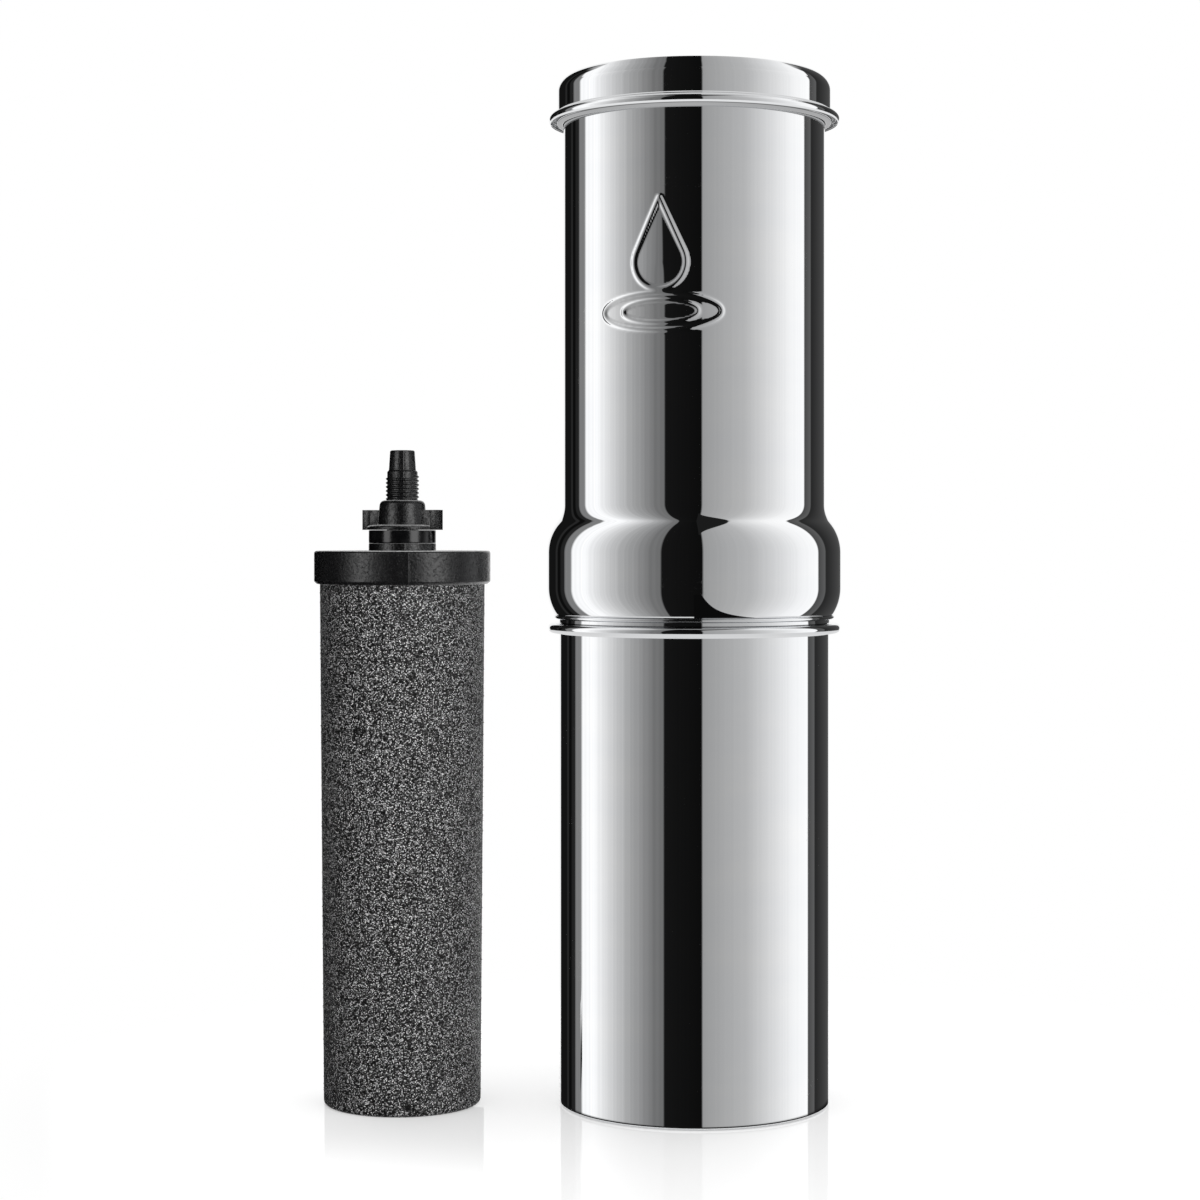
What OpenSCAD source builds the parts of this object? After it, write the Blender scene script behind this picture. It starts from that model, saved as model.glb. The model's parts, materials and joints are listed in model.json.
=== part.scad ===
// Countertop gravity water filter: two stacked steel chambers and a lid, a carbon
// cartridge fitted in the upper chamber, a spare cartridge beside it, and a lever tap
// on the back of the lower chamber. Millimetres, +Z up, with the origin at the centre
// of the lower chamber's underside and the tap towards +Y.

/* [Steel sheet] */
// Thickness of the chambers' and lid's sheet
sheet = 0.6; // [0.5:0.05:0.8]
// Outer radius of the rolled rim on each chamber
roll_r = 1.7; // [1.5:0.05:2.2]

/* [Lower chamber] */
// Outer diameter of the lower chamber
lower_d = 100.3; // [94:0.1:108]
// Height from the table to the crown of the lower chamber's rim
lower_h = 178.3; // [150:0.1:220]
// Outside radius of the corner between wall and base
base_corner = 1.4; // [1:0.1:4]
// Width of the flat on the crown of the lower chamber's rim
rim_flat = 1.2; // [0.8:0.1:2]

/* [Upper chamber] */
// How far the upper chamber's straight wall is set in from the lower chamber's wall
upper_in = 1.55; // [-0.85:0.05:5.15]
// How far the bulge stands out past the lower chamber's wall
bulge_out = 4.5; // [3.6:0.1:7]
// Height of the straight band round the bulge
bulge_band = 13; // [4:0.5:20]
// Radius of the curve under the bulge
under_r = 19.5; // [14:0.5:28]
// Radius of the rounded shoulder above the bulge
shoulder_r = 19; // [12:0.5:28]
// Radius of the hollow curve from the shoulder into the wall
neck_r = 10; // [6:0.5:16]
// Radius of the rounded seam between the upper chamber and its floor
seam_r = 0.75; // [0.65:0.05:1]
// Height of the seam's underside above the lower chamber's rim
seam_lift = 1.5; // [0.8:0.1:3]
// Depth of the floor below the crown of the lower rim
seat_depth = 12.5; // [8:0.1:20]
// Gap between the upper chamber's seat and the lower chamber, round the bore and over the rim
seat_gap = 0.3; // [0.25:0.05:0.6]
// Outside radius of the corner between the seat's wall and the floor
floor_corner = 2.5; // [1.5:0.1:4]

/* [Lid] */
// Height of the lid's top above the middle of its bead
lid_h = 16.3; // [12:0.1:24]
// Radius of the lid's top corner
lid_corner = 6; // [3:0.5:8]
// How far the lid's wall stands out past the upper chamber's wall
lid_out = 2.25; // [1.65:0.05:2.65]
// Slope of the lid's dome at its edge, in degrees
dome_slope = 2.5; // [1:0.5:6]
// Outside radius of the lid's bead
bead_r = 1.8; // [1.6:0.1:2.4]
// How far the middle of the bead stands out from the lid's wall
bead_out = 1.45; // [1.2:0.05:2.2]
// Radius of the hollow between the lid's wall and its bead
lid_fillet = 0.7; // [0.5:0.1:1]
// Gap between the lid's underside and the closed end of the fitted cartridge
head_gap = 2.2; // [0.5:0.1:10]

/* [Cartridge] */
// Diameter of the carbon block inside its end cap
block_d = 61.3; // [54:0.1:62]
// Diameter of the carbon block at its closed end
block_end_d = 58.2; // [50:0.1:60]
// Length from the face of the end cap to the closed end of the block
cartridge_l = 205; // [150:0.1:240]
// Diameter of the blind bore up the middle of the block
block_bore_d = 19; // [17:0.5:24]
// Thickness of carbon left at the closed end
block_end = 14; // [8:1:30]
// Wall of the porous core tube
core_wall = 1.6; // [1:0.1:2.5]
// Outer diameter of the end cap
cap_d = 65.5; // [64.5:0.1:72]
// Height of the end cap's skirt
cap_h = 12.3; // [8:0.1:18]
// Thickness of the end cap's plate
cap_plate = 3; // [2:0.1:5]
// Diameter of the boss on the end cap, and of the washer on it
boss_d = 25; // [20:0.1:28]
// Height of the boss
boss_h = 2.75; // [1.5:0.05:5]
// Thickness of the sealing washer
washer_h = 5; // [3:0.1:6]
// Outside diameter of the stem's thread
thread_d = 12.4; // [11:0.1:13]
// Pitch of the stem's thread
thread_pitch = 1.5; // [1.25:0.05:2]
// Depth of the stem's thread
thread_depth = 0.55; // [0.4:0.05:0.8]
// Length of bare thread past the wing nut
thread_free = 10.6; // [6:0.1:16]
// Length of the plain tip of the stem
tip_l = 8; // [5:0.1:12]
// Diameter of the water bore through the stem
outlet_d = 4.8; // [4.2:0.1:6]
// Free width between the spare cartridge's cap and the bulge
spare_gap = 21.2; // [12:0.1:60]

/* [Wing nut] */
// Height of the wing nut
nut_h = 11; // [9:0.1:13]
// Diameter of the wing nut's hub
nut_d = 18.4; // [17:0.1:20]
// Diameter of the wing nut's flange
nut_flange_d = 26.4; // [24:0.1:28]
// Width across the wings
wing_span = 31; // [30:0.1:38]
// Height of the wings
wing_h = 7.4; // [5:0.1:8]
// Turn of the spare cartridge's nut, seen from above
spare_nut_turn = -24; // [-180:1:180]

/* [Tap] */
// Height of the tap's shank above the table
tap_z = 29; // [28:0.5:60]
// Outside diameter of the shank's thread
shank_d = 15.8; // [14:0.1:17]
// Diameter of the water bore through the shank
shank_bore_d = 9; // [7:0.1:9.5]
// Diameter of the tap's flange and of its two washers
flange_d = 24; // [22:0.5:26]
// Thickness of the flange
flange_h = 2.5; // [2:0.1:4]
// Thickness of the outer and inner washer at the hole
tap_washer_h = 3.2; // [2.8:0.1:4]
// Width of the jam nut across its flats
jam_af = 22; // [20:0.5:24]
// Thickness of the jam nut
jam_h = 5; // [4:0.5:8]
// Length of barrel between flange and valve
barrel_l = 9; // [7:0.5:20]
// Outer diameter of the valve chamber
valve_d = 19; // [18:0.5:22]
// Depth of the valve chamber's underside below the shank's axis
valve_down = 9; // [8:0.5:12]
// Height of the valve chamber's rim above the shank's axis
valve_up = 14; // [12.5:0.5:18]
// Length of the spout below the valve chamber
spout_l = 12; // [6:0.5:14]
// Diameter of the spout's bore
spout_bore_d = 8.4; // [7:0.1:9]
// Diameter of the valve stem
stem_d = 4.8; // [4:0.1:5.4]
// Height of the lever's pivot above the bonnet
pivot_h = 6.4; // [6.2:0.1:10]
// Offset of the lever's pivot from the valve stem
pivot_out = 6.4; // [6.2:0.1:8]
// Length of the lever above its pivot
lever_l = 36; // [28:0.5:50]
// Turns of the valve spring
spring_turns = 5; // [4:1:7]

/* [Hidden] */
$fn = 96;

steel = "#c9ccd0";
black_plastic = "#1c1c1e";
carbon = "#333335";
core_white = "#d8d8d2";
rubber = "#26262a";
silicone = "#e4e2da";

rest_gap = 0.3;     // between two pieces of different bodies that rest on each other
slip = 0.1;         // radial clearance of a turning or sliding piece
hole_gap = 0.3;     // radial clearance of a stem or shank in its hole in the sheet
over = 1;           // how far a cutting shape runs past the face it cuts
arc_steps = 14;     // segments in a quarter or smaller arc of a sheet's section

// Radii and levels of the chambers
lower_r = lower_d / 2;
upper_r = lower_r - upper_in;
bulge_r = lower_r + bulge_out;
curl_r = roll_r - sheet;                        // inside radius of a rolled rim
roll_end = -120;                                // where a rim's curl stops, short of the wall
seat_turn = 112;                                // where the seat leaves the lower rim, from +X
lower_roll = [lower_r + curl_r, lower_h - roll_r];
seat_curve = roll_r + seat_gap;                 // the seat's curve is concentric with the rim's
seat_neck_r = lower_roll[0] + seat_curve * cos(seat_turn);
seat_turn_in = acos((seat_curve * cos(seat_turn) - sheet) / (seat_curve + sheet));
seam_out = 0.95;                                // middle of the seam, out from the neck below it
foot_out = 0.45;                                // foot of the upper chamber, out from that middle
seam_c = [seat_neck_r + seam_out, lower_h + seam_lift + seam_r];
seam_top = seam_c[1] + seam_r;
floor_z = lower_h - seat_depth;                 // upper face of the upper chamber's floor
seat_r = lower_r - sheet - seat_gap;

// The bulge's section: under curve, band, shoulder and neck meet without a corner
foot_r = seam_c[0] + foot_out;
under_turn = acos(1 - (bulge_r - foot_r) / under_r);
band_low = seam_top + under_r * sin(under_turn);
band_high = band_low + bulge_band;
neck_turn = acos(1 - (bulge_r - upper_r) / (shoulder_r + neck_r));
neck_z = band_high + (shoulder_r + neck_r) * sin(neck_turn);

// The lid rests on the upper rim, and clears the fitted cartridge
cap_face_z = floor_z + washer_h + boss_h;
lid_top = cap_face_z + cartridge_l + head_gap + sheet;
bead_z = lid_top - lid_h;
lid_r = upper_r + lid_out;
bead_start = 90 + asin((bead_out - lid_fillet) / (bead_r + lid_fillet));
bead_end = -55;
bead_c = [lid_r + bead_out, bead_z];
fillet_c = [lid_r + lid_fillet, bead_z + (bead_r + lid_fillet) * sin(bead_start)];
upper_roll_r = upper_r + curl_r;
upper_roll = [
    upper_roll_r,
    fillet_c[1] - sqrt(pow(roll_r + lid_fillet + sheet + rest_gap, 2) - pow(fillet_c[0] - upper_roll_r, 2))
];
dome_r = (lid_r - lid_corner) / sin(dome_slope) + lid_corner;

// Cartridge, in its own frame: the cap's face at z = 0, the stem up, the block down
nut_z = boss_h + washer_h;
thread_end = nut_z + nut_h + thread_free;
stem_end = thread_end + tip_l;
spare_x = -(bulge_r + spare_gap + cap_d / 2);
stem_hole_r = thread_d / 2 + hole_gap;

// Tap
tap_hole_r = shank_d / 2 + hole_gap;
washer_out_y = lower_r + tap_washer_h;          // flat face of the outer washer
washer_in_y = sqrt(pow(lower_r - sheet, 2) - pow(flange_d / 2, 2)) - tap_washer_h / 2;
jam_y = washer_in_y - jam_h;
shank_past = 1.5;                               // shank showing past its nut
shank_end_y = jam_y - shank_past;
flange_y = washer_out_y + flange_h;
valve_y = flange_y + barrel_l + valve_d / 2;
barrel_r = shank_d / 2 + 0.3;
valve_wall = 1.9;
valve_floor_t = 2;
valve_bore_r = valve_d / 2 - valve_wall;
valve_floor_z = tap_z - valve_down + valve_floor_t;
valve_top_z = tap_z + valve_up;
spout_z = tap_z - valve_down - spout_l;
spout_wall = 1.6;
spout_r = spout_bore_d / 2 + spout_wall;
bonnet_top = 3;
bonnet_z = valve_top_z + bonnet_top;
bonnet_wall = 2.6;
bonnet_r = valve_d / 2 + bonnet_wall;
skirt_gap = 0.6;                                // between the bonnet's skirt and the barrel
bonnet_skirt = valve_up - barrel_r - skirt_gap;
pivot_z = bonnet_z + pivot_h;
pivot_y = valve_y + pivot_out;
stem_r = stem_d / 2;
lever_turn = 40;                                // degrees from shut to open
stem_lift = pivot_out * lever_turn * PI / 180;  // the stem's travel, in step with the lever
seat_lap = 2;                                   // how far the cup reaches past the spout's bore
cup_r = spout_bore_d / 2 + seat_lap;
cup_h = 3.6;
cup_floor = 1;                                  // cup below the foot of the stem
cup_z = valve_floor_z + rest_gap;
collar_gap = 0.4;
collar_z = cup_z + cup_h + collar_gap;          // underside of the collar that the spring sits on
collar_h = 1.2;
spring_wire_r = 0.5;
spring_out = 2.7;                               // middle of the wire, out from the stem
spring_r = stem_r + spring_out;
pin_r = 1.25;
lever_pin_r = 1.5;
tongue_t = 3;
tongue_r = 2.4;
side_gap = 0.5;                                 // between tongue, cheek and ear
plate_t = 2.5;                                  // thickness of the lever's cheeks and the bonnet's ears
cheek_in = tongue_t / 2 + side_gap;
cheek_out = cheek_in + plate_t;
ear_in = cheek_out + side_gap;
ear_out = ear_in + plate_t;

function arc(c, r, from, to, steps = arc_steps) = [
    for (i = [0:steps])
        let (a = from + (to - from) * i / steps)
        [c[0] + r * cos(a), c[1] + r * sin(a)]
];

// Section of a rolled rim: under its crown to the free edge, then back over the crown
function roll_out(c, flat) = concat(
    arc(c, curl_r, 180, 90),
    arc([c[0] + flat, c[1]], curl_r, 90, roll_end, 2 * arc_steps)
);
function roll_back(c, flat) = concat(
    arc([c[0] + flat, c[1]], roll_r, roll_end, 90, 2 * arc_steps),
    arc(c, roll_r, 90, 180)
);

// Saw-tooth outline of a thread, as rings, from z0 up to z1
function ring_thread(major, depth, pitch, z0, z1) =
    let (turns = floor((z1 - z0) / pitch), crest = 0.4, crest_end = 0.55, root = 0.95)
    [
        for (i = [0:turns - 1])
            each [
                [major - depth, z0 + pitch * i],
                [major, z0 + pitch * (i + crest)],
                [major, z0 + pitch * (i + crest_end)],
                [major - depth, z0 + pitch * (i + root)]
            ]
    ];

module along_y(y) {
    translate([0, y, tap_z])
        rotate([-90, 0, 0])
            children();
}

module across_x(y, z, half) {
    translate([-half, y, z])
        rotate([0, 90, 0])
            children();
}

module lower_chamber() {
    floor_r = base_corner - sheet;
    outside = concat([[0, 0]], arc([lower_r - base_corner, base_corner], base_corner, -90, 0));
    inside = concat(arc([lower_r - base_corner, base_corner], floor_r, 0, -90), [[0, sheet]]);
    color(steel)
        difference() {
            rotate_extrude()
                polygon(concat(
                    outside, roll_out(lower_roll, rim_flat), roll_back(lower_roll, rim_flat), inside
                ));
            along_y(0)
                cylinder(r = tap_hole_r, h = lower_r + over);
        }
}

module upper_chamber() {
    under_c = [bulge_r - under_r, band_low];
    shoulder_c = [bulge_r - shoulder_r, band_high];
    neck_c = [upper_r + neck_r, neck_z];
    outside = concat(
        arc(under_c, under_r, -under_turn, 0),
        arc(shoulder_c, shoulder_r, 0, neck_turn),
        arc(neck_c, neck_r, 180 + neck_turn, 180)
    );
    inside = concat(
        arc(neck_c, neck_r + sheet, 180, 180 + neck_turn),
        arc(shoulder_c, shoulder_r - sheet, neck_turn, 0),
        arc(under_c, under_r - sheet, 0, -under_turn)
    );
    last = inside[len(inside) - 1];
    foot = [last[0] - (last[1] - seam_top) * tan(under_turn), seam_top];
    color(steel)
        rotate_extrude()
            polygon(concat(outside, roll_out(upper_roll, 0), roll_back(upper_roll, 0), inside, [foot]));
}

module upper_floor() {
    outer_c = [seat_r - floor_corner, floor_z - sheet + floor_corner];
    outside = concat(
        [[stem_hole_r, floor_z - sheet]],
        arc(outer_c, floor_corner, -90, 0),
        arc(lower_roll, seat_curve, 180, seat_turn),
        [[seat_neck_r, seam_c[1] - seam_r]],
        arc(seam_c, seam_r, -90, 90)
    );
    inside = concat(
        [[seat_neck_r - sheet, seam_top]],
        arc(lower_roll, seat_curve + sheet, seat_turn_in, 180),
        arc(outer_c, floor_corner - sheet, 0, -90),
        [[stem_hole_r, floor_z]]
    );
    color(steel)
        rotate_extrude()
            polygon(concat(outside, inside));
}

module lid() {
    corner_c = [lid_r - lid_corner, lid_top - lid_corner];
    dome_c = [0, corner_c[1] + lid_corner * cos(dome_slope) - dome_r * cos(dome_slope)];
    outside = concat(
        arc(dome_c, dome_r, 90, 90 - dome_slope),
        arc(corner_c, lid_corner, 90 - dome_slope, 0),
        arc(fillet_c, lid_fillet, 180, 180 + bead_start),
        arc(bead_c, bead_r, bead_start, bead_end, 2 * arc_steps)
    );
    inside = concat(
        arc(bead_c, bead_r - sheet, bead_end, bead_start, 2 * arc_steps),
        arc(fillet_c, lid_fillet + sheet, 180 + bead_start, 180),
        arc(corner_c, lid_corner - sheet, 0, 90 - dome_slope),
        arc(dome_c, dome_r - sheet, 90 - dome_slope, 90)
    );
    color(steel)
        rotate_extrude()
            polygon(concat(outside, inside));
}

// Puts a cartridge piece in the upper chamber, stem down through the floor
module fitted() {
    translate([0, 0, cap_face_z])
        rotate([180, 0, 0])
            children();
}

// Puts a cartridge piece beside the housing, standing on its closed end
module spare() {
    translate([spare_x, 0, cartridge_l])
        children();
}

module carbon_block() {
    edge = 1.5;
    top = -cap_plate;
    color(carbon)
        rotate_extrude()
            polygon(concat(
                [[block_bore_d / 2, top], [block_bore_d / 2, -cartridge_l + block_end],
                    [0, -cartridge_l + block_end], [0, -cartridge_l]],
                arc([block_end_d / 2 - edge, -cartridge_l + edge], edge, -90, 0, 6),
                [[block_d / 2, top]]
            ));
}

module core_tube() {
    tube_r = block_bore_d / 2 - slip;
    length = cartridge_l - block_end - cap_plate - slip;
    color(core_white)
        translate([0, 0, -cap_plate - length])
            difference() {
                cylinder(r = tube_r, h = length);
                translate([0, 0, -over])
                    cylinder(r = tube_r - core_wall, h = length + 2 * over);
            }
}

module end_cap() {
    skirt_in = block_d / 2 + slip;
    cap_r = cap_d / 2;
    lip_r = 1;
    lip = min(lip_r, (cap_r - skirt_in) / 2);
    root = thread_d / 2 - thread_depth;
    tip_step = 0.6;
    tip_taper = 0.45;
    tip_low = root - tip_step;
    tip_high = tip_low - tip_taper;
    tip_round = 0.6;
    teeth = ring_thread(thread_d / 2, thread_depth, thread_pitch, boss_h, thread_end);
    color(black_plastic)
        rotate_extrude()
            polygon(concat(
                [[outlet_d / 2, stem_end], [outlet_d / 2, -cap_plate], [skirt_in, -cap_plate],
                    [skirt_in, -cap_h], [cap_r - lip, -cap_h], [cap_r, -cap_h + lip]],
                arc([cap_r - lip, -lip], lip, 0, 90, 6),
                [[boss_d / 2, 0], [boss_d / 2, boss_h]],
                teeth,
                [[root, thread_end], [tip_low, thread_end + tip_step]],
                arc([tip_high - tip_round, stem_end - tip_round], tip_round, 0, 90, 6)
            ));
}

module washer() {
    color(rubber)
        translate([0, 0, boss_h])
            difference() {
                cylinder(d = boss_d, h = washer_h - slip);
                translate([0, 0, -over])
                    cylinder(d = thread_d + 2 * slip, h = washer_h + 2 * over);
            }
}

module wing(turn) {
    web_t = 2.4;
    bar_t = 2.5;
    bar_w = 5.4;
    root_in = 1.5;
    start = nut_d / 2 - root_in;
    end = wing_span / 2;
    rotate([0, 0, turn]) {
        translate([start, -web_t / 2, 0])
            cube([end - start - bar_t / 2, web_t, wing_h]);
        translate([end - bar_t, -bar_w / 2, 0])
            cube([bar_t, bar_w, wing_h]);
    }
}

// The fitted cartridge's nut is held off its washer by the chamber's floor
module wing_nut(turn, held_off) {
    flange_t = 1.6;
    flange_edge = 1;
    flange_bevel = 0.8;
    hub_foot = 0.3;
    hub_taper = 0.7;
    shoulder = 2;
    hub_r = nut_d / 2;
    top_r = hub_r - hub_taper;
    color(black_plastic)
        translate([0, 0, nut_z + held_off])
            difference() {
                union() {
                    rotate_extrude()
                        polygon(concat(
                            [[0, 0], [nut_flange_d / 2, 0], [nut_flange_d / 2, flange_edge],
                                [nut_flange_d / 2 - flange_bevel, flange_t], [hub_r, flange_t + hub_foot]],
                            arc([top_r - shoulder, nut_h - shoulder], shoulder, 0, 90, 8),
                            [[0, nut_h]]
                        ));
                    wing(turn);
                    wing(turn + 180);
                }
                translate([0, 0, -over])
                    cylinder(d = thread_d + 2 * slip, h = nut_h + 2 * over);
            }
}

module shank_outline() {
    depth = 0.6;
    pitch = 1.6;
    teeth = ring_thread(shank_d / 2, depth, pitch, shank_end_y, washer_out_y);
    rotate_extrude()
        polygon(concat(
            [[0, shank_end_y]], teeth, [[shank_d / 2 - depth, washer_out_y], [0, washer_out_y]]
        ));
}

module tap_body() {
    foot_z = tap_z - valve_down;
    lip_in = 0.4;
    lip_h = 0.8;
    spout_taper = 0.8;
    foot_fillet = 1.5;
    foot_corner = 2;
    color(black_plastic)
        difference() {
            union() {
                along_y(0)
                    shank_outline();
                along_y(washer_out_y)
                    cylinder(d = flange_d, h = flange_h);
                along_y(washer_out_y)
                    cylinder(r = barrel_r, h = valve_y - washer_out_y);
                translate([0, valve_y, 0])
                    rotate_extrude()
                        polygon(concat(
                            [[0, spout_z], [spout_r - lip_in, spout_z], [spout_r, spout_z + lip_h],
                                [spout_r + spout_taper, foot_z - foot_fillet]],
                            arc([valve_d / 2 - foot_corner, foot_z + foot_corner], foot_corner, -60, 0, 6),
                            [[valve_d / 2, valve_top_z], [0, valve_top_z]]
                        ));
            }
            translate([0, valve_y, spout_z - over])
                cylinder(d = spout_bore_d, h = valve_up + valve_down + spout_l);
            translate([0, valve_y, valve_floor_z])
                cylinder(r = valve_bore_r, h = valve_up + valve_down);
            along_y(shank_end_y - over)
                cylinder(d = shank_bore_d, h = valve_y - shank_end_y + over);
        }
}

// A washer whose wall side follows the chamber's round wall
module tap_outer_washer() {
    color(rubber)
        difference() {
            along_y(0)
                cylinder(d = flange_d, h = washer_out_y);
            translate([0, 0, -over])
                cylinder(r = lower_r, h = lower_h);
            along_y(-over)
                cylinder(d = shank_d + 2 * slip, h = washer_out_y + 2 * over);
        }
}

module tap_inner_washer() {
    color(rubber)
        difference() {
            intersection() {
                along_y(washer_in_y)
                    cylinder(d = flange_d, h = lower_r - washer_in_y);
                cylinder(r = lower_r - sheet, h = lower_h);
            }
            along_y(-over)
                cylinder(d = shank_d + 2 * slip, h = lower_r + over);
        }
}

module tap_jam_nut() {
    jam_rim = 1.2;
    rim_out = 1;
    color(black_plastic)
        along_y(jam_y)
            difference() {
                union() {
                    rotate([0, 0, 30])
                        cylinder(d = jam_af / cos(30), h = jam_h - jam_rim / 2, $fn = 6);
                    translate([0, 0, jam_h - jam_rim])
                        cylinder(d = flange_d + 2 * rim_out, h = jam_rim);
                }
                translate([0, 0, -over])
                    cylinder(d = shank_d + 2 * slip, h = jam_h + 2 * over);
            }
}

module tap_bonnet() {
    ribs = 24;
    rib_r = 0.55;
    rib_in = 0.8;
    bevel = 1;
    body_h = bonnet_skirt + bonnet_top - bevel;
    low = bonnet_z - bonnet_top - bonnet_skirt;
    ear_r = 3.2;
    ear_t = ear_out - ear_in;
    ear_base = bonnet_z - bonnet_top / 2;
    color(black_plastic)
        difference() {
            union() {
                translate([0, valve_y, low])
                    cylinder(r = bonnet_r, h = body_h);
                translate([0, valve_y, low + body_h])
                    cylinder(r1 = bonnet_r, r2 = bonnet_r - bevel, h = bevel);
                for (i = [0:ribs - 1])
                    translate([0, valve_y, low + rib_in])
                        rotate([0, 0, 360 * i / ribs])
                            translate([bonnet_r, 0, 0])
                                cylinder(r = rib_r, h = body_h - 2 * rib_in, $fn = 24);
                for (side = [-1, 1])
                    translate([side * (ear_in + ear_out) / 2, 0, 0]) {
                        across_x(pivot_y, pivot_z, ear_t / 2)
                            cylinder(r = ear_r, h = ear_t);
                        translate([-ear_t / 2, pivot_y - ear_r, ear_base])
                            cube([ear_t, 2 * ear_r, pivot_z - ear_base]);
                    }
            }
            translate([0, valve_y, low - over])
                cylinder(r = valve_d / 2 + slip, h = bonnet_skirt + over);
            translate([0, valve_y, bonnet_z - bonnet_top - over])
                cylinder(r = stem_r + slip, h = bonnet_top + 2 * over);
            across_x(pivot_y, pivot_z, ear_out + over)
                cylinder(r = lever_pin_r, h = 2 * (ear_out + over));
        }
}

module tap_gland_ring() {
    ring_r = 0.8;
    color(rubber)
        translate([0, valve_y, valve_top_z - ring_r])
            rotate_extrude()
                translate([stem_r + slip + ring_r, 0])
                    circle(r = ring_r, $fn = 32);
}

module tap_stem() {
    tongue_gap = 0.6;
    tongue_low = bonnet_z + tongue_gap;
    collar_lap = 0.8;
    color(steel)
        difference() {
            union() {
                translate([0, valve_y, cup_z + cup_floor])
                    cylinder(r = stem_r, h = tongue_low - cup_z);
                translate([0, valve_y, collar_z])
                    cylinder(r = spring_r + collar_lap, h = collar_h);
                translate([-tongue_t / 2, valve_y - tongue_r, tongue_low])
                    cube([tongue_t, 2 * tongue_r, pivot_z - tongue_low]);
                across_x(valve_y, pivot_z, tongue_t / 2)
                    cylinder(r = tongue_r, h = tongue_t);
            }
            across_x(valve_y, pivot_z, tongue_t)
                cylinder(r = pin_r, h = 2 * tongue_t);
        }
}

module tap_stem_pin() {
    inset = 0.2;
    half = cheek_out - inset;
    color(steel)
        across_x(valve_y, pivot_z, half)
            cylinder(r = pin_r, h = 2 * half);
}

module tap_seat_cup() {
    bevel = 0.8;
    rim_h = 2;
    top_wall = 1.4;
    color(silicone)
        translate([0, valve_y, cup_z])
            difference() {
                rotate_extrude()
                    polygon([
                        [0, 0], [cup_r - bevel, 0], [cup_r, bevel],
                        [cup_r, rim_h], [stem_r + top_wall, cup_h], [0, cup_h]
                    ]);
                translate([0, 0, cup_floor])
                    cylinder(r = stem_r, h = cup_h);
            }
}

// One unbroken wire, six-sided, eight rings to a turn
module tap_spring() {
    sides = 6;
    per_turn = 8;
    rings = spring_turns * per_turn;
    end_gap = 0.05;
    low = collar_z + collar_h + spring_wire_r + end_gap;
    high = valve_top_z - spring_wire_r - end_gap;
    climb = (high - low) / rings;
    points = [
        for (i = [0:rings])
            for (k = [0:sides - 1])
                let (a = 360 * i / per_turn, b = 360 * k / sides)
                [
                    (spring_r + spring_wire_r * cos(b)) * cos(a),
                    (spring_r + spring_wire_r * cos(b)) * sin(a),
                    low + climb * i + spring_wire_r * sin(b)
                ]
    ];
    walls = [
        for (i = [0:rings - 1])
            for (k = [0:sides - 1])
                let (p = i * sides + k, q = i * sides + (k + 1) % sides)
                each [[p, p + sides, q], [q, p + sides, q + sides]]
    ];
    first = [for (k = [1:sides - 2]) [0, k, k + 1]];
    end = rings * sides;
    last = [for (k = [1:sides - 2]) [end, end + k + 1, end + k]];
    color(steel)
        translate([0, valve_y, 0])
            polyhedron(points, concat(walls, first, last));
}

// The slot's far end, where the stem's pin lies in the lever's own frame when open
module slot(reach, drop) {
    slot_gap = 0.35;
    slot_r = pin_r + slot_gap;
    length = norm([reach, drop]);
    across_x(pivot_y - pivot_out, pivot_z, cheek_out + over)
        cylinder(r = slot_r, h = 2 * (cheek_out + over));
    across_x(pivot_y - pivot_out - reach, pivot_z - drop, cheek_out + over)
        cylinder(r = slot_r, h = 2 * (cheek_out + over));
    translate([-cheek_out - over, pivot_y - pivot_out, pivot_z])
        rotate([180 + atan2(drop, reach), 0, 0])
            translate([0, 0, -slot_r])
                cube([2 * (cheek_out + over), length, 2 * slot_r]);
}

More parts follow.
